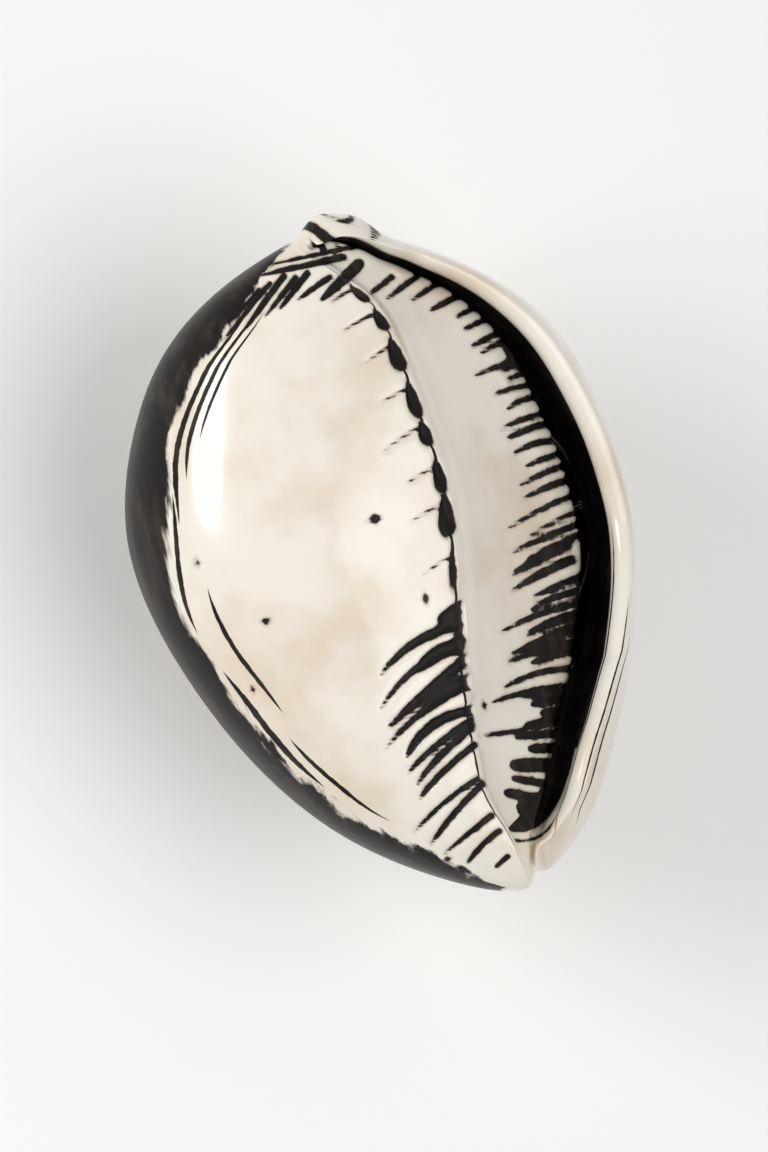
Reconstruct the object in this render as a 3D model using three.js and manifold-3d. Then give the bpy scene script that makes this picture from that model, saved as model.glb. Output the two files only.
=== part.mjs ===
// A large cowrie shell lying on its back, aperture up. Millimetres.
// X points to the outer lip, Y to the spire, Z up. The finished shell is centred over the origin,
// which lies on the surface that it rests on.
import * as THREE from 'three';
import { mergeVertices } from 'three/addons/utils/BufferGeometryUtils.js';
import Module from 'manifold-3d';

const wasm = await Module();
wasm.setup();

// Outer form: cross-sections along Y whose sizes follow a circle arc from tip to tip.
const form = {
  halfLength: 41.5,
  middleY: -0.9,
  halfWidth: 30.7,
  widthPower: 1.285, // above 1 draws the tips in
  egg: 0.228, // widening towards the spire end
  fullness: 0.084, // widening towards both ends
  tipHeight: 37,
  baseHeight: 45.6,
  marginHeight: 26.5, // height of the widest line at mid length
  restDepth: 0.75, // how far the back would dip below its worn flat spot
  axisBend: [[-43, 1.8], [-36, 0.5], [-28, -0.3], [-8, -0.45], [10, -1.5], [24, -1.65], [36, -3.3], [44, -2.75]],
};

// Aperture: a toothed inner edge, a sunken wall, a dark pocket under the rolled outer lip.
const aperture = {
  gape: [[-41, 0], [-38.5, 2.5], [-36, 5.5], [-32, 11.6], [-26, 16.7], [-20, 21], [-13, 26], [-5, 27.6],
    [3, 25.4], [12, 23.1], [20, 20.7], [27, 16.9], [33, 12.1], [36, 9], [38.5, 0]],
  widest: 26,
  canalWidth: 1.5,
  crevice: [[-42, 1.5], [-34, 2.6], [-20, 3.6], [0, 3.2], [14, 2.6], [24, 1.5], [34, 1]], // slit under the lip
  pocketDepth: 10.5,
  lipRadius: 1.75,
  innerEdge: [[-44, 0.2], [-37, -1.5], [-30, -4.05], [-24, -4.15], [-16, -3.35], [-8, -1.8], [0, 0], [8, 1.15],
    [16, 0.9], [24, 0.6], [30, -0.3], [34, -2.5], [38, -5.6], [44, -7.5]],
};

// Ends: the worn spire knob, and the notch between the two lobes at the canal end.
const knob = { x: 0.2, z: 37.2, radius: 4.2, height: 2.35 };
const notch = { x: 1.6, width: 1, depth: 2.4, lipSetBack: 1.5 };

// Living chamber: one whorl that leaves the pocket and turns back above it.
const chamber = { turns: 0.86, middleY: 0.5, halfLength: 30, wallShare: 0.1, steps: 40, sides: 24 };

// Grid of the outer surface, with its rows closer together near both ends.
const steps = { around: 70, along: 56, endCrowding: 0.09 };

function smooth(from, to, value) {
  const t = Math.min(1, Math.max(0, (value - from) / (to - from)));
  return t * t * (3 - 2 * t);
}

function mix(a, b, share) {
  return a + (b - a) * share;
}

// Smooth curve through a few [place, value] points.
function curveAt(points, place) {
  const last = points.length - 1;
  const slope = points.map((point, i) => {
    const before = points[Math.max(0, i - 1)];
    const after = points[Math.min(last, i + 1)];
    return (after[1] - before[1]) / (after[0] - before[0]);
  });
  const p = Math.min(points[last][0], Math.max(points[0][0], place));
  let i = 0;
  while (i < last - 1 && p > points[i + 1][0]) i += 1;
  const gap = points[i + 1][0] - points[i][0];
  const t = (p - points[i][0]) / gap;
  return (2 * t ** 3 - 3 * t ** 2 + 1) * points[i][1] + (t ** 3 - 2 * t ** 2 + t) * gap * slope[i]
    + (3 * t ** 2 - 2 * t ** 3) * points[i + 1][1] + (t ** 3 - t ** 2) * gap * slope[i + 1];
}

// Sizes of the cross-section at one place along Y.
function sectionAt(y) {
  const along = Math.min(1, Math.max(-1, (y - form.middleY) / form.halfLength));
  const round = Math.sqrt(Math.max(1 - along * along, 1e-6));
  const tip = form.tipHeight;
  const width = form.halfWidth * round ** form.widthPower * (1 + form.egg * along + form.fullness * along ** 2);
  const section = {
    y,
    width,
    centreX: curveAt(form.axisBend, y),
    top: tip + (form.baseHeight - tip) * round ** 0.9,
    bottom: tip - (tip + form.restDepth) * round * (1 + 0.05 * along - 0.05 * along ** 2),
    margin: tip - (tip - form.marginHeight) * round,
  };
  const gape = Math.hypot(aperture.canalWidth, curveAt(aperture.gape, y));
  const closing = 1 - smooth(36.8, 39.6, y); // the gape runs out below the knob
  const canalEnd = smooth(-41.6, -39.4, y) * mix(0.4, 1, smooth(-38, -33.5, y)); // and ends in a shallow gutter
  const open = Math.min(1, 1.15 * gape / aperture.widest);
  section.gape = Math.min(gape, width * mix(0.4, 0.9, smooth(3, 12, width)));
  section.crevice = Math.min(curveAt(aperture.crevice, y), 0.5 * section.gape);
  section.depth = closing * canalEnd
    * Math.min(aperture.pocketDepth * (0.22 + 0.78 * open), 0.5 * (section.top - section.bottom));
  section.roll = Math.max(0.15, aperture.lipRadius * (0.3 + 0.7 * Math.min(1, gape / 12))
    * Math.min(1, width / 8) * (0.25 + 0.75 * closing * canalEnd));
  section.edgeSoftness = Math.min(1, gape / 9) * closing * canalEnd;
  section.edgeX = section.centreX
    + THREE.MathUtils.clamp(curveAt(aperture.innerEdge, y) - section.centreX, -0.5 * width, 0.5 * width);
  section.lipX = section.edgeX + section.gape;
  return section;
}

// Point on the egg outline of a section; the angle starts at the outer lip side and goes up.
function outlinePoint(section, angle) {
  const up = section.top - section.margin;
  const down = section.margin - section.bottom;
  const sine = Math.sin(angle);
  const rise = (up + down) / 2 * sine + (up - down) / 2 * sine * sine;
  return new THREE.Vector2(section.centreX + section.width * Math.cos(angle), section.margin + rise);
}

function angleAtX(section, x) {
  return Math.acos(THREE.MathUtils.clamp((x - section.centreX) / section.width, -0.98, 0.98));
}

// Control points of a section: back, left side, base, inner edge, sunken wall, pocket, lip, right side.
function sectionCage(section) {
  const points = [];
  const edgeAngle = angleAtX(section, section.edgeX) - 2 * Math.PI;
  for (let i = 0; i <= 14; i += 1) {
    points.push(outlinePoint(section, mix(-Math.PI / 2, edgeAngle, i / 14)));
  }
  const edge = points[14];
  const lipAngle = angleAtX(section, section.lipX + 1.35 * section.roll);
  const lip = outlinePoint(section, lipAngle);
  const tangent = outlinePoint(section, lipAngle + 0.02).sub(outlinePoint(section, lipAngle - 0.02)).normalize();
  const inward = new THREE.Vector2(-tangent.y, tangent.x);
  const rollCentre = lip.clone().addScaledVector(inward, section.roll);

  // Sunken wall: share of the way to the crevice, drop below the line from edge to lip.
  const soft = section.edgeSoftness;
  const depth = section.depth;
  const wallWidth = section.gape - section.crevice;
  const levelAt = (x) => mix(edge.y, rollCentre.y, Math.min(1, (x - edge.x) / section.gape));
  const wallDrops = [[0.14, 1.2, 0.04], [0.32, 0.9, 0.1], [0.52, 0.6, 0.16], [0.72, 0.3, 0.22], [0.88, 0, 0.3],
    [1, 0, 0.42]];
  points.push(new THREE.Vector2(edge.x + soft, edge.y - 0.95 * soft));
  for (const [share, softDrop, deepDrop] of wallDrops) {
    const x = edge.x + share * wallWidth;
    points.push(new THREE.Vector2(x, levelAt(x) - softDrop * soft - deepDrop * depth));
  }

  // Pocket: offset in crevice widths, drop below the lip.
  const undercut = smooth(0.3, 0.8, depth / aperture.pocketDepth);
  const pocketDrops = [[0.22, 0.7], [0.45, 0.98], [0.9, 1.08], [1.3, 1], [1.5, 0.7], [1.5, 0.36]];
  for (const [offset, deepDrop] of pocketDrops) {
    const reach = offset < 1 ? offset : 1 + (offset - 1) * undercut;
    const x = edge.x + wallWidth + reach * section.crevice;
    points.push(new THREE.Vector2(x, levelAt(x) - deepDrop * depth));
  }

  // Rolled lip: an arc from the underside over the top to the outer side.
  const startAngle = Math.atan2(-inward.y, -inward.x);
  const curl = 0.35 + 0.65 * Math.min(1, section.depth / aperture.pocketDepth * 2.5);
  for (const degrees of [175, 125, 80, 38]) {
    const angle = startAngle + THREE.MathUtils.degToRad(degrees) * curl;
    points.push(new THREE.Vector2(Math.cos(angle), Math.sin(angle)).multiplyScalar(section.roll).add(rollCentre));
  }
  for (let i = 0; i < 8; i += 1) {
    points.push(outlinePoint(section, mix(lipAngle, -Math.PI / 2, i / 8)));
  }
  return points;
}

// Point on the closed cubic B-spline of a cage, at a share of the way round.
function splinePoint(cage, share) {
  const place = share * cage.length;
  const i = Math.floor(place);
  const t = place - i;
  const at = (offset) => cage[(i + offset + cage.length) % cage.length];
  const weights = [(1 - t) ** 3, 3 * t ** 3 - 6 * t ** 2 + 4, -3 * t ** 3 + 3 * t ** 2 + 3 * t + 1, t ** 3];
  const point = new THREE.Vector2();
  weights.forEach((weight, k) => point.addScaledVector(at(k - 1), weight / 6));
  return point;
}

function bell(distance, width) {
  return Math.exp(-((distance / width) ** 2));
}

// Pushes the spire knob out at one end and the canal notch in at the other.
function shapeEnds(point) {
  const nearSpire = smooth(34.5, 38.5, point.y);
  const nearCanal = smooth(-36, -41, point.y) * smooth(26, 35, point.z);
  const fromKnob = Math.hypot(point.x - knob.x, 0.9 * (point.z - knob.z)) / knob.radius;
  const lipSide = smooth(notch.x - 0.4, notch.x + 1.2, point.x);
  point.y += nearSpire * knob.height / (1 + fromKnob ** 5);
  point.y += nearCanal * (notch.depth * bell(point.x - notch.x, notch.width) + notch.lipSetBack * lipSide - 0.5);
}

// A sphere's grid whose points are moved onto the shell.
function shellGeometry() {
  const geometry = new THREE.SphereGeometry(1, steps.around, steps.along);
  const position = geometry.attributes.position;
  const columns = steps.around + 1;
  for (let row = 0; row <= steps.along; row += 1) {
    const share = Math.min(steps.along - 0.4, Math.max(0.4, row)) / steps.along;
    const turn = Math.PI * (share - steps.endCrowding * Math.sin(2 * Math.PI * share));
    const y = form.middleY + form.halfLength * Math.cos(turn);
    const cage = sectionCage(sectionAt(y));
    const isPole = row === 0 || row === steps.along;
    const middle = new THREE.Vector2();
    cage.forEach((point) => middle.addScaledVector(point, 1 / cage.length));
    for (let column = 0; column < columns; column += 1) {
      const flat = isPole ? middle : splinePoint(cage, (column % steps.around) / steps.around);
      const reach = isPole ? Math.sign(y - form.middleY) * 0.2 : 0;
      const point = new THREE.Vector3(flat.x, y + reach, flat.y);
      shapeEnds(point);
      position.setXYZ(row * columns + column, point.x, point.y, point.z);
    }
  }
  return geometry;
}

// Radius and angle of a point within its section, where 1 is the outline.
function polarIn(section, x, z) {
  const across = (x - section.centreX) / section.width;
  const up = (z - section.margin) / (section.top - section.margin);
  return { radius: Math.hypot(across, up), angle: Math.atan2(up, across) };
}

// The chamber is a tube: it starts in the pocket, runs round under the back and ends under the base.
function chamberGeometry() {
  const geometry = new THREE.SphereGeometry(1, chamber.sides, chamber.steps);
  const position = geometry.attributes.position;
  const columns = chamber.sides + 1;
  const outer = [[0, 1 - chamber.wallShare], [0.5, 1 - chamber.wallShare], [0.7, 0.8], [0.86, 0.66]];
  const inner = [[0, 0.6], [0.2, 0.42], [0.5, 0.3], [0.86, 0.3]];
  for (let row = 0; row <= chamber.steps; row += 1) {
    const turn = chamber.turns * row / chamber.steps;
    const taper = Math.sqrt(1 - smooth(chamber.turns - 0.12, chamber.turns, turn));
    const blunt = row === 0 ? 0 : 1;
    const settled = smooth(0, 0.22, turn);
    for (let column = 0; column < columns; column += 1) {
      const angle = -2 * Math.PI * (column % chamber.sides) / chamber.sides;
      const halfLength = chamber.halfLength * mix(0.8, 1, settled) * taper * blunt;
      const y = chamber.middleY + halfLength * Math.cos(angle);
      const section = sectionAt(y);
      const underLip = sectionCage(section)[27];
      const pocket = polarIn(section, section.lipX + 0.3, underLip.y - 0.45 * section.depth);
      const outside = mix(Math.min(pocket.radius + 0.05, 0.93), curveAt(outer, turn), settled);
      const inside = mix(pocket.radius - 0.07, curveAt(inner, turn), settled);
      const lift = Math.sign(Math.sin(angle)) * Math.abs(Math.sin(angle)) ** 0.7 * taper * blunt;
      const radius = (outside + inside) / 2 + (outside - inside) / 2 * lift;
      const place = mix(pocket.angle, 0, settled) - 2 * Math.PI * turn;
      const rim = outlinePoint(section, place);
      const x = section.centreX + radius * (rim.x - section.centreX);
      const z = section.margin + radius * (rim.y - section.margin);
      position.setXYZ(row * columns + column, x, y, z);
    }
  }
  return geometry;
}

function toSolid(geometry) {
  geometry.deleteAttribute('normal');
  geometry.deleteAttribute('uv');
  const merged = mergeVertices(geometry, 1e-4);
  return new wasm.Manifold(new wasm.Mesh({
    numProp: 3,
    vertProperties: new Float32Array(merged.attributes.position.array),
    triVerts: new Uint32Array(merged.index.array),
  }));
}

function toGeometry(solid) {
  const mesh = solid.getMesh();
  const geometry = new THREE.BufferGeometry();
  geometry.setAttribute('position', new THREE.BufferAttribute(mesh.vertProperties, 3));
  geometry.setIndex(new THREE.BufferAttribute(mesh.triVerts, 1));
  geometry.computeVertexNormals();
  return geometry;
}

// Everything below this block's top, at Z 0, is worn away.
function groundGeometry() {
  const side = 2 * form.halfWidth;
  const geometry = new THREE.BoxGeometry(side, side, 10);
  geometry.translate(0, 0, -5);
  return geometry;
}

const solid = toSolid(shellGeometry())
  .subtract(toSolid(chamberGeometry()))
  .subtract(toSolid(groundGeometry()));

const body = toGeometry(solid);
body.computeBoundingBox();
const middle = body.boundingBox.getCenter(new THREE.Vector3());
body.translate(-middle.x, -middle.y, 0);

const porcelain = new THREE.MeshStandardMaterial({ color: 0xe9e1d2, roughness: 0.22, metalness: 0 });
const cowrieShell = new THREE.Mesh(body, porcelain);
cowrieShell.name = 'cowrie_shell';

const part = new THREE.Group();
part.add(cowrieShell);

export default part;
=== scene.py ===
import math

import bpy
import numpy as np
from mathutils import Matrix, Vector


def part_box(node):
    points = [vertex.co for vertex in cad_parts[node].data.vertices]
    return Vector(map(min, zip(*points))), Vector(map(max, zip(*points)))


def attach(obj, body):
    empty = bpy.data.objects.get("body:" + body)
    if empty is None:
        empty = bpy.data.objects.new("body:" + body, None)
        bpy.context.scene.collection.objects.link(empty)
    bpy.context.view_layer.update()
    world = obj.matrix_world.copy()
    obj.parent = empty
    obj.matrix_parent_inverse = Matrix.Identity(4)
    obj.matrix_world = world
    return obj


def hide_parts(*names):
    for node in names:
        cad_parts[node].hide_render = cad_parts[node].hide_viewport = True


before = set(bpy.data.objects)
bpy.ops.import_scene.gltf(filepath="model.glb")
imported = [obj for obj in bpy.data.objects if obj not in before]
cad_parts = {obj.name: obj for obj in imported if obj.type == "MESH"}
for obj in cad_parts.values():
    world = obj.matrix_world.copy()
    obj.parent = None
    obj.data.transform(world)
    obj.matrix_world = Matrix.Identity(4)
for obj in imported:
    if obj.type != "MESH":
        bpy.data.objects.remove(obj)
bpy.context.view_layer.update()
nodeLow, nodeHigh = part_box("cowrie_shell")
mm = 0.001

# The shell is grown by formula, section by section, so it is worked out in millimetres
# and moved onto the vertices of a UV sphere whose poles are the two tips.

outerForm = {
    "halfLength": 41.5,
    "middleY": -0.9,
    "halfWidth": 30.7,
    "widthPower": 1.285,  # above 1 draws the tips in
    "egg": 0.228,  # wider towards the spire
    "fullness": 0.084,  # wider towards both ends
    "tipHeight": 37,
    "baseHeight": 45.6,
    "marginHeight": 26.5,
    "restDepth": 0.75,  # how far the back would dip below its worn flat spot
    # how the middle of the shell wanders in X along Y
    "axisBend": [[-43, 1.8], [-36, 0.5], [-28, -0.3], [-8, -0.45], [10, -1.5], [24, -1.65], [36, -3.3],
                 [44, -2.75]],
}

mouth = {
    # distance from the inner edge to the lip
    "gape": [[-41, 0], [-38.5, 2.5], [-36, 5.5], [-32, 11.6], [-26, 16.7], [-20, 21], [-13, 26],
             [-5, 27.6], [3, 25.4], [12, 23.1], [20, 20.7], [27, 16.9], [33, 12.1], [36, 9], [38.5, 0]],
    "widest": 26,
    "canalWidth": 1.5,
    # width of the dark slit under the lip
    "crevice": [[-42, 1.5], [-34, 2.6], [-20, 3.6], [0, 3.2], [14, 2.6], [24, 1.5], [34, 1.0]],
    "pocketDepth": 10.5,
    "lipRadius": 1.75,
    # sunken wall: share of the way to the crevice, soft drop and deep drop
    "wall": [(0.14, 1.2, 0.04), (0.32, 0.9, 0.1), (0.52, 0.6, 0.16), (0.72, 0.3, 0.22), (0.88, 0, 0.3),
             (1, 0, 0.42)],
    # pocket: offset in crevice widths, drop below the lip as a share of the depth
    "pocket": [(0.22, 0.7), (0.45, 0.98), (0.9, 1.08), (1.3, 1.0), (1.5, 0.7), (1.5, 0.36)],
    "innerEdge": [[-44, 0.2], [-37, -1.5], [-30, -4.05], [-24, -4.15], [-16, -3.35], [-8, -1.8], [0, 0],
                  [8, 1.15], [16, 0.9], [24, 0.6], [30, -0.3], [34, -2.5], [38, -5.6], [44, -7.5]],
}

knob = {"x": 0.2, "z": 37.2, "radius": 4.2, "height": 2.35}
notch = {"x": 1.6, "width": 1.0, "depth": 2.4, "lipSetBack": 1.5}

shellMesh = {
    "columns": 288,
    "rings": 300,
    "endCrowding": 0.03,
    "poleLift": 0.01,  # keeps the two poles just clear of their rings
    "edgePlace": 14.3,  # place round the section of the inner edge
    "lipPlace": 28.4,  # and of the underside of the lip
    # where the columns go: place round the section, and the column that reaches it
    "columnPlaces": [[0, 0], [4, 12], [10.6, 82], [13.0, 126], [15.4, 158], [21.5, 210], [28.5, 246],
                     [32.5, 268], [40, 288]],
}


def smooth(low, high, value):
    t = np.clip((value - low) / (high - low), 0, 1)
    return t * t * (3 - 2 * t)


def mix(a, b, share):
    return a + (b - a) * share


# the lower of two values, rounded where they meet; as a union of fields it fills the thin gaps between them
def join(a, b, sharpness=4):
    apart = np.minimum(np.abs(a - b), 9)
    return np.minimum(a, b) - np.log1p(np.exp(-sharpness * apart)) / sharpness


# smooth curve through a few [place, value] points
def curveAt(points, place):
    xs, ys = np.array(points, float).T
    slope = np.empty(len(xs))
    slope[1:-1] = (ys[2:] - ys[:-2]) / (xs[2:] - xs[:-2])
    slope[0] = (ys[1] - ys[0]) / (xs[1] - xs[0])
    slope[-1] = (ys[-1] - ys[-2]) / (xs[-1] - xs[-2])
    p = np.clip(place, xs[0], xs[-1])
    i = np.clip(np.searchsorted(xs, p) - 1, 0, len(xs) - 2)
    gap = xs[i + 1] - xs[i]
    t = (p - xs[i]) / gap
    start = (2 * t**3 - 3 * t**2 + 1) * ys[i] + (t**3 - 2 * t**2 + t) * gap * slope[i]
    end = (3 * t**2 - 2 * t**3) * ys[i + 1] + (t**3 - t**2) * gap * slope[i + 1]
    return start + end


# sizes of the cross-sections at an array of places along Y
def sectionsAt(y):
    f = outerForm
    along = np.clip((y - f["middleY"]) / f["halfLength"], -1, 1)
    rounding = np.sqrt(np.maximum(1 - along**2, 1e-6))
    tip = f["tipHeight"]
    width = f["halfWidth"] * rounding ** f["widthPower"] * (1 + f["egg"] * along + f["fullness"] * along**2)
    sec = {
        "y": y,
        "width": width,
        "centreX": curveAt(f["axisBend"], y),
        "top": tip + (f["baseHeight"] - tip) * rounding**0.9,
        "bottom": tip - (tip + f["restDepth"]) * rounding * (1 + 0.05 * along - 0.05 * along**2),
        "margin": tip - (tip - f["marginHeight"]) * rounding,
    }
    gape = np.hypot(mouth["canalWidth"], curveAt(mouth["gape"], y))
    closing = 1 - smooth(36.8, 39.6, y)  # the gape runs out below the knob
    # and is a shallow gutter at the canal
    canalEnd = smooth(-41.6, -39.4, y) * mix(0.4, 1, smooth(-38, -33.5, y))
    isOpen = np.minimum(1, 1.15 * gape / mouth["widest"])
    depth = np.minimum(mouth["pocketDepth"] * (0.22 + 0.78 * isOpen), 0.5 * (sec["top"] - sec["bottom"]))
    sec["gape"] = np.minimum(gape, width * mix(0.4, 0.9, smooth(3, 12, width)))
    sec["depth"] = closing * canalEnd * depth
    roll = mouth["lipRadius"] * (0.3 + 0.7 * np.minimum(1, gape / 12)) * np.minimum(1, width / 8)
    sec["roll"] = np.minimum(0.3 * width, np.maximum(0.15, roll * (0.25 + 0.75 * closing * canalEnd)))
    sec["softness"] = np.minimum(1, gape / 9) * closing * canalEnd
    sec["crevice"] = np.minimum(curveAt(mouth["crevice"], y), 0.5 * sec["gape"])
    offset = np.clip(curveAt(mouth["innerEdge"], y) - sec["centreX"], -0.5 * width, 0.5 * width)
    sec["edgeX"] = sec["centreX"] + offset
    # the lip keeps off the steep side of the shell, so that its rim runs without a dip
    room = 0.95 * width - 1.35 * sec["roll"] - offset
    sec["gape"] = mix(sec["gape"], join(sec["gape"], room, 1.2), smooth(18, 26, width))
    sec["lipX"] = sec["edgeX"] + sec["gape"]
    return sec


# points on the egg outline of each section; angle 0 is the outer lip side, and it goes up
def outlinePoints(sec, angle):
    up = sec["top"] - sec["margin"]
    down = sec["margin"] - sec["bottom"]
    sine = np.sin(angle)
    rise = (up + down) / 2 * sine + (up - down) / 2 * sine**2
    return np.stack([sec["centreX"] + sec["width"] * np.cos(angle), sec["margin"] + rise], -1)


def angleAtX(sec, x):
    return np.arccos(np.clip((x - sec["centreX"]) / sec["width"], -0.98, 0.98))


# control points of each section: back, left side, base, inner edge, sunken wall, pocket, lip, right side
def sectionCages(sec):
    points = []
    edgeAngle = angleAtX(sec, sec["edgeX"]) - 2 * math.pi
    for i in range(15):
        points.append(outlinePoints(sec, mix(-math.pi / 2, edgeAngle, i / 14)))
    edge = points[14]
    roll, depth, soft = sec["roll"], sec["depth"], sec["softness"]
    lipAngle = angleAtX(sec, sec["lipX"] + 1.35 * roll)
    lip = outlinePoints(sec, lipAngle)
    tangent = outlinePoints(sec, lipAngle + 0.02) - outlinePoints(sec, lipAngle - 0.02)
    tangent /= np.linalg.norm(tangent, axis=-1, keepdims=True)
    inward = np.stack([-tangent[..., 1], tangent[..., 0]], -1)
    rollCentre = lip + inward * roll[..., None]

    # sunken wall, dropping below the line from edge to lip
    points.append(np.stack([edge[..., 0] + soft, edge[..., 1] - 0.95 * soft], -1))
    wallWidth = sec["gape"] - sec["crevice"]
    for share, softDrop, deepDrop in mouth["wall"]:
        x = edge[..., 0] + share * wallWidth
        level = mix(edge[..., 1], rollCentre[..., 1], share * wallWidth / sec["gape"])
        points.append(np.stack([x, level - softDrop * soft - deepDrop * depth], -1))

    # pocket under the lip
    undercut = smooth(0.3, 0.8, depth / mouth["pocketDepth"])
    for share, deepDrop in mouth["pocket"]:
        reach = share if share < 1 else 1 + (share - 1) * undercut
        x = edge[..., 0] + wallWidth + reach * sec["crevice"]
        level = mix(edge[..., 1], rollCentre[..., 1], np.minimum(1, (x - edge[..., 0]) / sec["gape"]))
        points.append(np.stack([x, level - deepDrop * depth], -1))

    # rolled lip: an arc from its underside over the top to the outer side
    startAngle = np.arctan2(-inward[..., 1], -inward[..., 0])
    curl = 0.35 + 0.65 * np.minimum(1, depth / mouth["pocketDepth"] * 2.5)
    for degrees in (175, 125, 80, 38):
        angle = startAngle + math.radians(degrees) * curl
        points.append(rollCentre + roll[..., None] * np.stack([np.cos(angle), np.sin(angle)], -1))
    for i in range(8):
        points.append(outlinePoints(sec, mix(lipAngle, -math.pi / 2, i / 8)))
    return np.stack(points, 1)


# closed cubic B-spline through every section's control points, at the same places on each
def splineRows(cages, places):
    count = cages.shape[1]
    i = np.floor(places).astype(int)
    t = (places - i)[None, :, None]
    a, b, c, d = (cages[:, (i + offset) % count] for offset in (-1, 0, 1, 2))
    middle = (3 * t**3 - 6 * t**2 + 4) * b + (-3 * t**3 + 3 * t**2 + 3 * t + 1) * c
    return ((1 - t)**3 * a + middle + t**3 * d) / 6


# pushes the spire knob out at one end and the canal notch in at the other
def shapeEnds(grid):
    x, y, z = grid[..., 0], grid[..., 1], grid[..., 2]
    nearSpire = smooth(34.5, 38.5, y)
    nearCanal = smooth(-35, -42, y) * smooth(26, 35, z)
    fromKnob = np.hypot(x - knob["x"], 0.9 * (z - knob["z"])) / knob["radius"]
    lipSide = smooth(notch["x"] - 0.4, notch["x"] + 1.2, x)
    cut = notch["depth"] * np.exp(-(((x - notch["x"]) / notch["width"]) ** 2))
    cut = cut + notch["lipSetBack"] * lipSide - 0.5
    moved = y + nearSpire * knob["height"] / (1 + fromKnob**5) + nearCanal * cut
    return np.stack([x, moved, z], -1)


# puts the vertices of a unit UV sphere where a grid of rings and columns says
def moveSphere(piece, grid):
    rings, columns = grid.shape[0] - 1, grid.shape[1]
    unit = np.empty(len(piece.data.vertices) * 3)
    piece.data.vertices.foreach_get("co", unit)
    unit = unit.reshape(-1, 3)
    ring = np.rint(np.arccos(np.clip(unit[:, 2], -1, 1)) / math.pi * rings).astype(int)
    column = np.rint(np.arctan2(unit[:, 1], unit[:, 0]) / (2 * math.pi) * columns).astype(int) % columns
    piece.data.vertices.foreach_set("co", (grid[ring, column] * mm).ravel())
    piece.data.update()
    return ring, column


def newSphere(name, columns, rings):
    bpy.ops.object.select_all(action="DESELECT")
    bpy.ops.mesh.primitive_uv_sphere_add(segments=columns, ring_count=rings, radius=1)
    bpy.context.object.name = name
    bpy.ops.object.shade_smooth()
    return bpy.context.object


# the bare shell as a grid of points, with the places round each section and the sections' sizes
def growGrid():
    s = shellMesh
    share = np.clip(np.arange(s["rings"] + 1), 0.4, s["rings"] - 0.4) / s["rings"]
    turn = math.pi * (share - s["endCrowding"] * np.sin(2 * math.pi * share))
    y = outerForm["middleY"] + outerForm["halfLength"] * np.cos(turn)
    sec = sectionsAt(y)
    cages = sectionCages(sec)
    stops, reached = np.array(s["columnPlaces"], float).T
    places = np.interp(np.arange(s["columns"]), reached, stops)
    flat = splineRows(cages, places)
    flat[0], flat[-1] = cages[0].mean(0), cages[-1].mean(0)
    along = np.repeat(y[:, None], s["columns"], 1)
    along[0] += s["poleLift"]
    along[-1] -= s["poleLift"]
    grid = shapeEnds(np.stack([flat[..., 0], along, flat[..., 1]], -1))
    return grid, places, sec


# distance in mm to a stroke: a runs along it, b across it; below 0 is inside
def strokeField(a, b, length, halfWidth, power=2.0):
    share = np.clip(a / length, 0, 1)
    half = halfWidth * np.sqrt(np.maximum(0, 1 - share**power))
    past = np.maximum(np.maximum(a - length, -a), 0)
    return np.hypot(b, past) - half


# the same for a bowed stroke from one place on the stencil to another
def strokeBetween(f, u0, v0, u1, v1, bow, width, power):
    length = math.hypot(u1 - u0, v1 - v0)
    du, dv = (u1 - u0) / length, (v1 - v0) / length
    a = (f["u"] - u0) * du + (f["v"] - v0) * dv
    b = (f["v"] - v0) * du - (f["u"] - u0) * dv
    share = np.clip(a / length, 0, 1)
    return strokeField(a, b + 4 * bow * share * (1 - share), length, width / 2, power)


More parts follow.
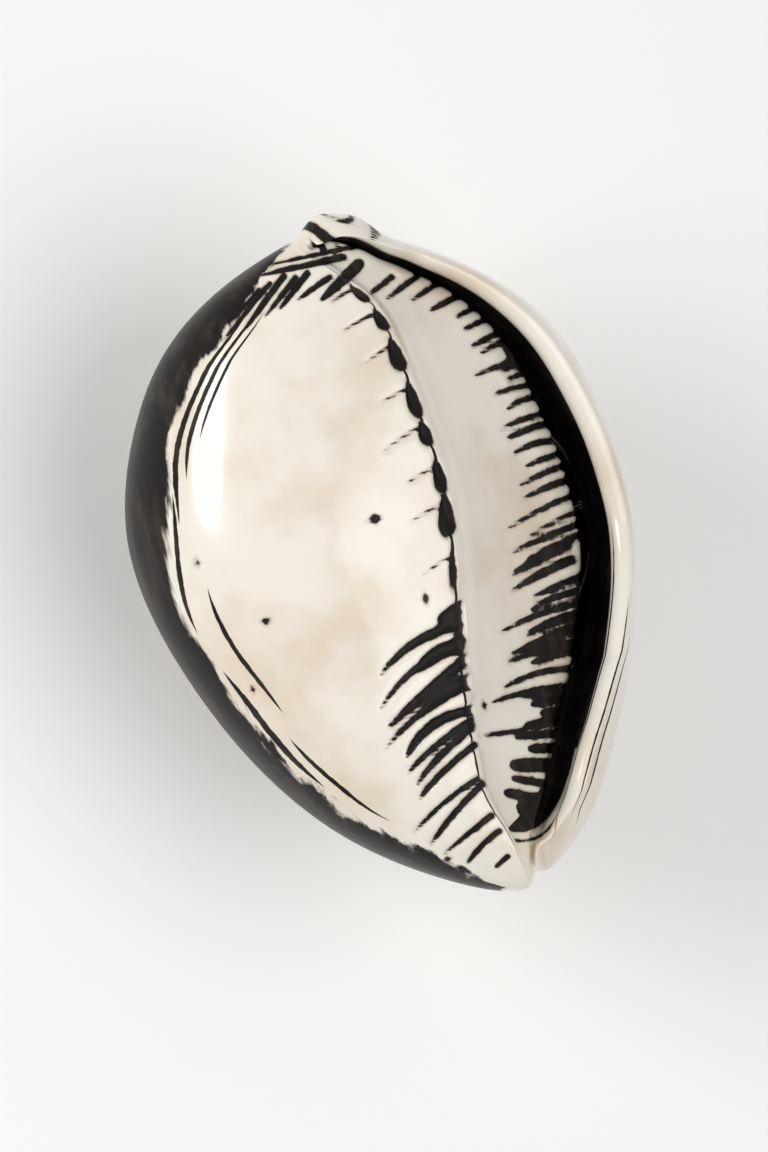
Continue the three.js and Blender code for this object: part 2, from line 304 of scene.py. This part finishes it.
teeth = {
    "seed": 11,
    # dark drops in the pits between the teeth of the inner edge: painted shade there
    "drops": [[32.1, 1.7, 2.7], [28.4, 1.8, 3.0], [23.8, 2.4, 4.4], [18.1, 2.0, 4.9], [13.8, 2.0, 3.3],
              [8.4, 1.9, 4.3], [3.6, 2.6, 5.2], [-2.7, 1.2, 4.9]],  # place along Y, width, length
    "dropDepth": 0.7,
    "threadLength": 4.8,
    # grooves left of the inner edge, darkened with painted shade: start across and along, tip across and
    # along, bow, width, bluntness
    "grooves": [[6.7, -7.6, 3.4, -8.6, 0, 1.7, 4], [7, -9, 3.3, -9.2, 0, 1.9, 4],
                [6.2, -10.6, 4.6, -12, 0, 1.5, 4], [5.6, -9.6, -5.2, -12.9, 1, 1.3, 2],
                [4.9, -12.1, -6.4, -17, 1.1, 0.9, 3], [4.9, -12.1, -0.5, -13.6, 0.5, 1.9, 4],
                [5.4, -14, -6.2, -19.4, 0.1, 1.5, 2], [5.1, -17.1, -7, -21.7, 0.8, 0.9, 3],
                [5.1, -16.6, -1.3, -18.5, 0.6, 1.8, 4], [4.5, -20.1, -5, -23.5, 1.3, 1.3, 6],
                [4.1, -21.3, -5.3, -25.4, 0.4, 0.8, 6], [3.9, -22.3, -4.7, -27.1, 0.4, 0.85, 6],
                [3.7, -24.3, -4.8, -28.8, 0.3, 0.9, 6], [2.8, -28.4, -6.5, -32.6, 0.4, 0.65, 5],
                [3.3, -29.2, -5, -34.6, 0.3, 0.85, 5], [3.2, -33.2, -3.7, -36.1, 0, 0.85, 1.6],
                [3.6, -35.3, -1.4, -38, 0.2, 0.8, 5], [3.7, -38.5, 1.8, -39.4, 0, 0.65, 5]],
    "grooveDepth": 0.55,
    "grooveOverrun": 1.6,  # how far they run over the edge
    # furrows between the ridges of the sunken wall, darkened with painted shade, from the slit outwards,
    # written the same way
    "furrows": [[9.8, 33.7, 6.5, 32.4, 0, 0.75, 4], [12.6, 32.9, 8.3, 31.2, 0, 0.75, 4],
                [15.1, 31.5, 11.2, 30.2, 0, 0.75, 4], [18, 29.5, 13, 28.4, 0, 0.85, 5],
                [19.7, 27.7, 15.9, 26.7, 0, 0.75, 5], [20.3, 25.7, 16.3, 25, 0, 0.7, 5],
                [21, 23.7, 16.6, 22.7, 0, 0.75, 5], [22.9, 22.9, 17.6, 21.6, 0, 0.7, 5],
                [21.6, 19.8, 16.1, 19.2, 0, 0.7, 5], [22.5, 19.2, 19.3, 18.9, 0, 0.65, 4],
                [22.4, 17.9, 19.7, 17.6, 0, 0.65, 4], [22.3, 16.3, 17.6, 16.3, 0.1, 0.65, 5],
                [22.9, 14.6, 18.7, 14, 0.4, 0.8, 4], [24.2, 12.3, 17.3, 11.9, 0.4, 0.7, 5],
                [24.7, 11, 17.6, 10.6, 0.3, 0.85, 5], [24.8, 8.5, 17.9, 8.6, 0.6, 0.85, 5],
                [25.8, 7, 19, 6.7, 0.3, 0.8, 5], [26, 5.6, 17.7, 4.7, 0.3, 0.8, 5],
                [25.7, 3.7, 17.6, 3, 0.3, 0.95, 3], [25.2, 1.9, 14.8, 0, 0.3, 0.8, 3],
                [25.9, 0.9, 23.4, 0.6, 0, 1.7, 4], [25.4, -0.2, 17.1, -1.6, 0.3, 0.7, 2],
                [25.3, -1.6, 14.5, -2.9, 0.1, 0.8, 5], [23.8, -3.1, 16.3, -4.1, 0.1, 0.75, 2],
                [21.4, -3.9, 13.7, -5.5, 0.1, 1.2, 4], [21.4, -5.8, 13, -7.5, 0.2, 1.2, 2],
                [22.9, -8.1, 15.4, -8.9, 0.2, 0.95, 2], [22.4, -9.9, 14.8, -10.3, 0.5, 0.9, 3],
                [22, -11.1, 10.3, -12, 0.5, 0.8, 5], [21.1, -12.5, 13.4, -13.1, 0.3, 1.2, 4],
                [20.7, -13.9, 10.5, -15, 0.2, 1.3, 1.6], [20.2, -15.7, 10.2, -15.9, 0.5, 0.8, 5],
                [19.9, -16.7, 13, -16.7, 0.3, 1.2, 5], [18.8, -19, 8.9, -18.6, 0.8, 0.8, 5],
                [15.6, -20.3, 7.1, -19.9, 0.3, 0.7, 6], [17.5, -20.7, 10.9, -20.2, 0, 0.95, 6],
                [16.9, -22, 11.6, -21.4, 0, 1.1, 8], [16.3, -23.5, 12.5, -22.8, 0, 1.1, 8],
                [9.9, -24.2, 5, -23.5, 0, 0.65, 6], [15.7, -24.5, 10.2, -23.7, 0, 1.2, 8],
                [14.7, -25.9, 8.6, -24.7, 0, 1, 8], [13.9, -27.6, 9.8, -26.5, 0, 1.2, 8],
                [11.8, -29.2, 7.1, -27.8, 0, 1.7, 8], [10, -30.9, 6.9, -29.4, 0, 0.95, 8],
                [9.5, -32.8, 5.5, -30.8, 0, 1.3, 8], [9, -34, 6.5, -33, 0, 1.8, 8]],
    "furrowDepth": 0.5,
    # where the painted shade of the slit under the lip ends at the canal, and where it begins across at
    # each place along Y
    "slitEnd": -36.2,
    "slitEdge": [[-36.5, 3.4], [-35, 5.0], [-33, 8.4], [-30, 11.2], [-25.5, 14.1], [-22, 15.7],
                 [-17.7, 17.9], [-13, 19.9], [-8.5, 21.5], [-4, 23.4], [0.5, 25], [5.6, 25.2],
                 [11, 24.4], [16.7, 22.4], [21, 20.3], [23.5, 21.4], [26, 20.6], [30.9, 16.4],
                 [33.7, 13.3], [36.4, 9.0]],
}

stencil = {
    "tilt": math.radians(20),  # the markings on the base are laid on from this side
    "height": 24,
    "shift": 0.36,
    "eyeDistance": 900,
    # inner edge of the dark margin band at each place along Y; the band is painted shade of the shell's
    # dark side, laid on as dark margin colour
    "bandEdge": [[-42, 2], [-36.4, -4.3], [-29.4, -12.5], [-24.4, -16.4], [-19, -19.7], [-11, -23],
                 [-4, -25.6], [2.7, -26.5], [12, -25], [20.7, -22.7], [28.6, -16.9], [32.8, -11.8],
                 [36.7, -7.5], [42, 0]],
    # painted shading strokes beside the dark band: distance from the band, first and last Y, width
    "bandStrokes": [[1.3, 11, 36, 0.8], [2.7, 16, 35, 0.7], [4.1, 20, 33, 0.5], [0.8, -2, 15, 0.6],
                    [3.9, -14, 3, 0.6], [1.0, -24, -7, 0.8], [2.5, -30, -17, 0.6]],
    "flecks": [[-0.6, 5.7, 2.4, 1.4], [2.7, -5.4, 1.0, 1.7], [-16.8, -2.7, 1.5, 1.0],
               [-20.7, -10.2, 0.8, 1.1], [-23, 6.5, 0.8, 1.3], [-9.2, -32.9, 1.3, 1.2],
               [-3.5, -36.8, 1.2, 0.9], [6.0, -19.9, 0.8, 1.1]],
    "spireStrokes": [[-3.1, 37.4, -9.6, 32.3, 0.9], [-1.7, 36.8, -6.7, 33.2, 0.8],
                     [-0.2, 36.9, -4.7, 33.6, 0.9], [2.3, 35.7, -2.3, 34.1, 0.8],
                     [6.2, 36.2, 0.4, 33.2, 1.5], [4.7, 37.6, -6.0, 38.3, 0.9],
                     [6.6, 38.4, -4.6, 39.2, 0.6], [-5.0, 37.0, -12.5, 31.8, 0.7],
                     [-6.5, 36.6, -11.0, 33.8, 0.6]],
}


def fieldsOf(grid, places, sec):
    step = np.linalg.norm(np.diff(grid, axis=1), axis=-1)
    arc = np.concatenate([np.zeros((len(grid), 1)), np.cumsum(step, 1)], 1)
    at = lambda place: arc[:, [int(np.argmin(np.abs(places - place)))]]
    x, y, z = grid[..., 0], grid[..., 1], grid[..., 2]
    tilt = stencil["tilt"]
    lift = (z - stencil["height"]) * math.cos(tilt) - x * math.sin(tilt)
    nearness = 1 / (1 - lift / stencil["eyeDistance"])
    u = (x * math.cos(tilt) + (z - stencil["height"]) * math.sin(tilt)) * nearness + stencil["shift"]
    pastLip = arc - at(shellMesh["lipPlace"])
    inPocket = pastLip + 1.1 * sec["depth"][:, None]
    return {"x": x, "y": y, "z": z, "u": u, "v": y * nearness,
            "fromEdge": arc - at(shellMesh["edgePlace"]), "pastLip": pastLip, "inPocket": inPocket}


# drops, threads and grooves along the inner edge, and how deep each is cut; the dark of the drops and
# grooves is painted shade in the pits and grooves
def edgeMarks(f):
    rng = np.random.default_rng(teeth["seed"])
    left = -f["fromEdge"]
    darkField, cut = np.full(left.shape, 9.0), np.zeros(left.shape)
    for place, width, length in teeth["drops"]:
        t = (f["y"] - place) / (length / 2)
        swell = 1 - 0.45 * np.clip(t, -1, 1)
        drop = (np.hypot((left - 0.15) / (width / 2 * swell), t) - 1) * width / 2
        darkField = np.minimum(darkField, drop)
        cut = np.maximum(cut, teeth["dropDepth"] * smooth(0.25, -0.7, drop))
        reach = teeth["threadLength"] * rng.uniform(0.7, 1.15)
        slope = math.tan(math.radians(rng.uniform(5, 12)))
        across = f["y"] - (place + 0.3 * length - left * slope - 0.02 * left**2)
        thread = strokeField(left - 0.6, across, reach, 0.2, 2.0)
        darkField = np.minimum(darkField, thread)
        cut = np.maximum(cut, 0.14 * smooth(0.4, -0.1, thread))
    grooves = np.full(left.shape, 9.0)
    for groove in teeth["grooves"]:
        across = strokeBetween(f, *groove)
        grooves = join(grooves, across)
        cut = np.maximum(cut, teeth["grooveDepth"] * smooth(0.3, -0.55, across))
    outside = np.maximum(-teeth["grooveOverrun"] - left, stencil["height"] - f["z"])
    return np.minimum(darkField, np.maximum(grooves, outside)), cut * smooth(0.5, 0, outside)


# the dark slit under the lip, and the grooves between ridges that climb from it up the sunken wall: their
# dark is painted shade, in the slit, over the pocket and the underside of the lip, and in the furrows
def wallMarks(f):
    inside = np.minimum(f["fromEdge"] - 0.8, -f["pastLip"])
    slit = np.minimum(curveAt(teeth["slitEdge"], f["v"]) - f["u"], -f["inPocket"])
    darkField, cut = slit, np.zeros(f["u"].shape)
    for furrow in teeth["furrows"]:
        across = strokeBetween(f, *furrow)
        darkField = join(darkField, across)
        cut = np.maximum(cut, teeth["furrowDepth"] * smooth(0.35, -0.45, across) * smooth(-1, 1, slit))
    slitEnd = np.minimum(teeth["slitEnd"] + 0.12 * (f["u"] - 7) ** 2, -28) - f["v"]
    gutter = np.where((f["u"] > 2.8) & (f["u"] < 11.5), np.abs(slitEnd - 1.1) - 0.2, 9)
    darkField = np.maximum(np.minimum(np.maximum(darkField, slitEnd), gutter), -inside)
    return darkField, cut * smooth(0, 1.2, inside)


# marks laid on through the stencil: flecks, strokes below the spire, rings on the knob
def stencilMarks(f):
    darkField = np.full(f["u"].shape, 9.0)
    cut = np.zeros(f["u"].shape)
    for u, v, width, height in stencil["flecks"]:
        fleck = np.abs(f["u"] - u) / (width / 2) + np.abs(f["v"] - v) / (height / 2) - 1
        darkField = np.minimum(darkField, fleck * 0.3 * min(width, height))
    for u0, v0, u1, v1, width in stencil["spireStrokes"]:
        stroke = strokeBetween(f, u0, v0, u1, v1, 0, width, 2.5)
        darkField = np.minimum(darkField, stroke)
        cut = np.maximum(cut, 0.3 * smooth(0.3, -0.4, stroke))
    darkField = np.where(f["z"] > stencil["height"], darkField, 9)
    aroundKnob = np.hypot(f["x"] - knob["x"], 0.9 * (f["z"] - knob["z"]))
    for radius, width in ((1.8, 0.55), (4.0, 1.0)):
        ring = np.where(f["y"] > 37.8, np.abs(aroundKnob - radius) - width / 2, 9)
        darkField = np.minimum(darkField, ring)
        cut = np.maximum(cut, 0.22 * smooth(0.25, -0.2, ring))
    return darkField, cut


def growShell():
    shell = newSphere("shell", shellMesh["columns"], shellMesh["rings"])
    grid, places, sec = growGrid()
    ring, column = moveSphere(shell, grid)
    f = fieldsOf(grid, places, sec)
    marks = [edgeMarks(f), wallMarks(f), stencilMarks(f)]
    # dark of all the marks: the shell's own pigment, and painted shade in the slit, pocket, pits, grooves
    # and furrows
    darkField = np.minimum.reduce([m[0] for m in marks])
    cut = np.maximum.reduce([m[1] for m in marks])
    normals = np.empty(len(ring) * 3)
    shell.data.vertices.foreach_get("normal", normals)
    co = np.empty(len(ring) * 3)
    shell.data.vertices.foreach_get("co", co)
    # both ends are too sharp-edged to take it
    cut = cut * smooth(-38.5, -35, f["y"]) * smooth(39.5, 36.5, f["y"])
    cutHere = cut[ring, column]
    co = co.reshape(-1, 3) - normals.reshape(-1, 3) * cutHere[:, None] * mm
    co[:, 2] = np.maximum(co[:, 2], 0)  # the flat spot it rests on
    shell.data.vertices.foreach_set("co", co.ravel())
    # distance from the dark margin band, which is painted shade of the dark side and dark margin colour
    band = f["u"] - curveAt(stencil["bandEdge"], f["v"])
    # stored so that 0 is dark: the chamber's own walls come out of the cut with 0 and so get painted shade
    stored = {
        "paleness": np.clip(darkField + 1, 0, 4),
        "margin": np.clip(band + 6, 0, 30),
        "fromEdge": f["fromEdge"] + 30,
        "pastLip": f["pastLip"] + 30,
    }
    for name, values in stored.items():
        layer = shell.data.attributes.new(name, "FLOAT", "POINT")
        layer.data.foreach_set("value", values[ring, column].astype(np.float32))
    shell.data.update()
    print("shell grown:", len(shell.data.vertices), "vertices")
    return shell


chamber = {
    "turns": 0.86,
    "middleY": 0.5,
    "halfLength": 30,
    "columns": 72,
    "rings": 120,
    "outer": [[0, 0.9], [0.5, 0.9], [0.7, 0.8], [0.86, 0.66]],  # share of the way out, by turn
    "inner": [[0, 0.6], [0.2, 0.42], [0.5, 0.3], [0.86, 0.3]],
}


# the living chamber: a tube that leaves the pocket, runs round under the back and ends under the base
def hollowShell(shell):
    c = chamber
    tube = newSphere("tube", c["columns"], c["rings"])
    turn = c["turns"] * np.arange(c["rings"] + 1)[:, None] / c["rings"]
    angle = -2 * math.pi * np.arange(c["columns"])[None, :] / c["columns"]
    taper = np.sqrt((1 - smooth(c["turns"] - 0.12, c["turns"], turn)) * np.clip(turn / 0.04, 0, 1))
    settled = smooth(0, 0.22, turn)
    y = c["middleY"] + c["halfLength"] * mix(0.8, 1, settled) * taper * np.cos(angle)
    sec = sectionsAt(y)
    lipTop = sectionCages({k: v.ravel() for k, v in sec.items()})[:, 27, 1].reshape(y.shape)
    floorX = (sec["lipX"] + 0.3 - sec["centreX"]) / sec["width"]
    floorZ = (lipTop - 0.45 * sec["depth"] - sec["margin"]) / (sec["top"] - sec["margin"])
    pocketRadius, pocketAngle = np.hypot(floorX, floorZ), np.arctan2(floorZ, floorX)
    outside = mix(np.minimum(pocketRadius + 0.05, 0.93), curveAt(c["outer"], turn), settled)
    inside = mix(pocketRadius - 0.07, curveAt(c["inner"], turn), settled)
    lift = np.sign(np.sin(angle)) * np.abs(np.sin(angle))**0.7 * taper
    radius = (outside + inside) / 2 + (outside - inside) / 2 * lift
    rim = outlinePoints(sec, mix(pocketAngle, 0.0, settled) - 2 * math.pi * turn)
    x = sec["centreX"] + radius * (rim[..., 0] - sec["centreX"])
    z = sec["margin"] + radius * (rim[..., 1] - sec["margin"])
    moveSphere(tube, np.stack([x, y, z], -1))
    bpy.ops.object.select_all(action="DESELECT")
    bpy.context.view_layer.objects.active = shell
    shell.select_set(True)
    cutter = shell.modifiers.new("chamber", "BOOLEAN")
    cutter.operation = "DIFFERENCE"
    cutter.solver = "EXACT"
    cutter.object = tube
    bpy.ops.object.modifier_apply(modifier="chamber")
    bpy.data.objects.remove(tube)
    print("chamber hollowed:", len(shell.data.vertices), "vertices")


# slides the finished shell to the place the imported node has
def seatShell(shell):
    co = np.empty(len(shell.data.vertices) * 3)
    shell.data.vertices.foreach_get("co", co)
    co = co.reshape(-1, 3)
    middle = (co.min(0) + co.max(0)) / 2
    wanted = (nodeLow + nodeHigh) / 2
    co[:, 0] += wanted.x - middle[0]
    co[:, 1] += wanted.y - middle[1]
    shell.data.vertices.foreach_set("co", co.ravel())
    shell.data.update()
    print("moved by", wanted.x - middle[0], wanted.y - middle[1])


shell = growShell()
hollowShell(shell)
seatShell(shell)
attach(shell, "root")
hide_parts("cowrie_shell")


enamel = {
    "cream": (0.84, 0.79, 0.70, 1),
    "blush": (0.74, 0.62, 0.49, 1),
    "back": (0.42, 0.31, 0.22, 1),
    # dark of the marks and the band: the shell's own pigment, and painted shade in the slit, pocket, pits,
    # grooves, furrows and band
    "pigmentAndShade": (0.013, 0.011, 0.010, 1),
    "wornPigmentAndShade": (0.045, 0.034, 0.027, 1),
    # brownish fringe of the dark marks, and so of their painted shade too
    "halo": (0.36, 0.24, 0.15, 1),
    "roughness": 0.2,
    # distance, width, first and last Y
    "lipLines": [[1.0, 0.35, -38, -2], [3.4, 0.3, -36, -12], [4.9, 0.5, -37, -16]],
}


class Nodes:
    def __init__(self, material):
        material.use_nodes = True
        self.tree = material.node_tree
        self.shader = self.tree.nodes["Principled BSDF"]

    def add(self, kind, values=(), **settings):
        node = self.tree.nodes.new("ShaderNode" + kind)
        for name, value in settings.items():
            setattr(node, name, value)
        for name, value in dict(values).items():
            if isinstance(value, bpy.types.NodeSocket):
                self.tree.links.new(value, node.inputs[name])
            else:
                node.inputs[name].default_value = value
        return node

    def math(self, operation, a, b=0.0, c=0.0):
        return self.add("Math", {0: a, 1: b, 2: c}, operation=operation).outputs[0]

    def noise(self, where, scale, detail=3.0, rough=0.5):
        values = {"Vector": where, "Scale": scale, "Detail": detail, "Roughness": rough}
        return self.add("TexNoise", values).outputs[0]

    def ramp(self, value, low, high, start=0.0, end=1.0):
        node = self.add("MapRange", {0: value, 1: low, 2: high, 3: start, 4: end})
        node.interpolation_type = "SMOOTHSTEP"
        return node.outputs[0]

    def blend(self, share, a, b):
        node = self.add("Mix", data_type="RGBA")
        for index, value in ((0, share), (6, a), (7, b)):
            if isinstance(value, bpy.types.NodeSocket):
                self.tree.links.new(value, node.inputs[index])
            else:
                node.inputs[index].default_value = value
        return node.outputs[2]


def makeEnamel():
    material = bpy.data.materials.new("shellEnamel")
    n = Nodes(material)
    place = n.add("TexCoord").outputs["Object"]
    stretched = n.add("Mapping", {"Vector": place, "Scale": (1, 0.16, 1)}).outputs[0]
    height = n.add("SeparateXYZ", {0: place}).outputs[2]
    paleness = n.add("Attribute", attribute_name="paleness").outputs["Fac"]
    margin = n.add("Attribute", attribute_name="margin").outputs["Fac"]
    fromEdge = n.add("Attribute", attribute_name="fromEdge").outputs["Fac"]
    pastLip = n.add("Attribute", attribute_name="pastLip").outputs["Fac"]
    along = n.add("SeparateXYZ", {0: place}).outputs[1]
    cloud = n.noise(place, 70, 4)
    fine = n.noise(place, 900, 3)
    grain = n.noise(place, 2600, 2)
    streak = n.noise(stretched, 420, 4, 0.6)

    # dark colour in the marks, with a slightly ragged edge: the shell's own pigment in the flecks, strokes
    # and rings, painted shade in the slit, the pocket, the chamber walls, the pits between the teeth and
    # the grooves and furrows
    ragged = n.math("MULTIPLY_ADD", fine, 0.34, -0.17)
    edge = n.math("ADD", paleness, ragged)
    inMark = n.ramp(edge, 0.92, 1.08, 1.0, 0.0)

    # fine tapered lines: along the inner edge, inside the rim of the lip, and beside the band, where they
    # are painted shading strokes
    def line(distance, at, width, first, last):
        near = n.math("ABSOLUTE", n.math("SUBTRACT", distance, at))
        span = {0: along, 1: first * mm, 2: last * mm, 3: -1.0, 4: 1.0}
        share = n.add("MapRange", span, clamp=False).outputs[0]
        narrowing = n.math("POWER", n.math("ABSOLUTE", share), 3.0)
        taper = n.math("MAXIMUM", n.math("SUBTRACT", 1.0, narrowing), -0.3)
        unevenness = n.math("MULTIPLY_ADD", fine, 0.8, 0.6)
        wide = n.math("MULTIPLY", unevenness, n.math("MULTIPLY", taper, width / 2))
        return n.ramp(n.math("SUBTRACT", near, wide), -0.04, 0.04, 1.0, 0.0)

    lines = line(fromEdge, 30.0, 0.42, -39.5, 39.5)
    for at, width, first, last in enamel["lipLines"]:
        lines = n.math("MAXIMUM", lines, line(pastLip, 30.0 + at, width, first, last))
    for at, first, last, width in stencil["bandStrokes"]:
        lines = n.math("MAXIMUM", lines, line(margin, 6.0 + at, width, first, last))
    # brownish fringe round the dark marks, so also round their painted shade
    halo = n.ramp(edge, 1.0, 1.3, 0.4, 0.0)

    # dark band along the margin, in streaks: painted shade of the shell's dark side, laid on as dark margin
    # colour
    bandEdge = n.math("MULTIPLY_ADD", streak, 5.0, -2.5)
    band = n.ramp(n.math("ADD", margin, bandEdge), 5.7, 6.5, 1.0, 0.0)

    # ivory, warmer in clouds and browner towards the back
    base = n.blend(n.ramp(cloud, 0.42, 0.72), enamel["cream"], enamel["blush"])
    nearBack = n.ramp(n.math("MULTIPLY_ADD", cloud, 0.012, height), 0.026, 0.004, 0.0, 0.75)
    base = n.blend(nearBack, base, enamel["back"])
    base = n.blend(halo, base, enamel["halo"])
    # near-black of the marks: pigment, and painted shade where the marks stand for shade
    pigmentAndShade = n.blend(n.ramp(streak, 0.45, 0.75), enamel["pigmentAndShade"], enamel["wornPigmentAndShade"])
    dark = n.math("MAXIMUM", n.math("MAXIMUM", inMark, band), lines)
    colour = n.blend(dark, base, pigmentAndShade)
    n.tree.links.new(colour, n.shader.inputs["Base Color"])

    rough = n.math("MULTIPLY_ADD", cloud, 0.12, enamel["roughness"] - 0.06)
    rough = n.math("MULTIPLY_ADD", dark, 0.16, rough)
    n.tree.links.new(rough, n.shader.inputs["Roughness"])
    n.tree.links.new(n.math("MULTIPLY_ADD", dark, -0.48, 0.5), n.shader.inputs["Coat Weight"])
    n.tree.links.new(n.math("MULTIPLY_ADD", dark, -0.4, 0.5), n.shader.inputs["Specular IOR Level"])
    n.shader.inputs["Coat Roughness"].default_value = 0.05
    n.shader.inputs["IOR"].default_value = 1.53
    relief = n.math("MULTIPLY_ADD", streak, 1.0, n.math("MULTIPLY", inMark, -0.8))
    relief = n.math("MULTIPLY_ADD", grain, 0.3, relief)
    bump = n.add("Bump", {"Strength": 0.25, "Distance": 0.00008, "Height": relief}).outputs[0]
    n.tree.links.new(bump, n.shader.inputs["Normal"])
    return material


shell.data.materials.clear()
shell.data.materials.append(makeEnamel())
print("enamel done")


studio = {
    "floorSize": 6.0,
    "floorColour": (0.94, 0.94, 0.93, 1),
    "skyStrength": 0.42,
    "distance": 0.9,
    "roll": math.radians(16),
    "middle": (0.0014, -0.0001, 0.024),
    "aim": (-0.00134, -0.0018),  # how far right of that middle and above it the camera looks
    "frameHeight": 0.141,
    "strip": {"at": (-0.52, 0.25, 0.4), "size": (0.46, 0.28), "power": 2.5},
    "key": {"at": (0.35, -0.3, 1.1), "size": (1.2, 1.2), "power": 6.0},
}


def addFloor():
    bpy.ops.mesh.primitive_plane_add(size=studio["floorSize"], location=(0, 0, 0))
    floor = bpy.context.object
    floor.name = "floor"
    paper = bpy.data.materials.new("paper")
    n = Nodes(paper)
    place = n.add("TexCoord").outputs["Object"]
    shade = n.ramp(n.noise(place, 3.0, 2), 0.3, 0.7)
    low = tuple(0.97 * c for c in studio["floorColour"][:3]) + (1,)
    n.tree.links.new(n.blend(shade, low, studio["floorColour"]), n.shader.inputs["Base Color"])
    n.shader.inputs["Roughness"].default_value = 0.9
    floor.data.materials.append(paper)


def addLight(name, at, size, power):
    bpy.ops.object.light_add(type="AREA", location=at)
    light = bpy.context.object
    light.name = name
    light.data.shape = "ELLIPSE"
    light.data.size, light.data.size_y = size
    light.data.energy = power
    toShell = Vector(studio["middle"]) - Vector(at)
    light.rotation_euler = toShell.to_track_quat("-Z", "Y").to_euler()


def addCamera():
    tilt, roll = stencil["tilt"], studio["roll"]
    back = Vector((-math.sin(tilt), 0, math.cos(tilt)))
    across = Vector((math.cos(tilt), 0, math.sin(tilt)))
    right = across * math.cos(roll) - Vector((0, 1, 0)) * math.sin(roll)
    up = across * math.sin(roll) + Vector((0, 1, 0)) * math.cos(roll)
    aimRight, aimUp = studio["aim"]
    at = Vector(studio["middle"]) + right * aimRight + up * aimUp + back * studio["distance"]
    bpy.ops.object.camera_add(location=at)
    camera = bpy.context.object
    camera.matrix_world = Matrix.Translation(at) @ Matrix((right, up, back)).transposed().to_4x4()
    camera.data.sensor_width = 36
    camera.data.lens = 36 * studio["distance"] / studio["frameHeight"]
    bpy.context.scene.camera = camera


def addStudio():
    addFloor()
    for name in ("strip", "key"):
        light = studio[name]
        addLight(name, light["at"], light["size"], light["power"])
    world = bpy.data.worlds.new("softSky")
    bpy.context.scene.world = world
    world.use_nodes = True
    sky = world.node_tree.nodes["Background"]
    sky.inputs["Color"].default_value = (1, 1, 1, 1)
    sky.inputs["Strength"].default_value = studio["skyStrength"]
    bpy.context.scene.view_settings.view_transform = "Standard"


addStudio()
addCamera()
print("studio done")
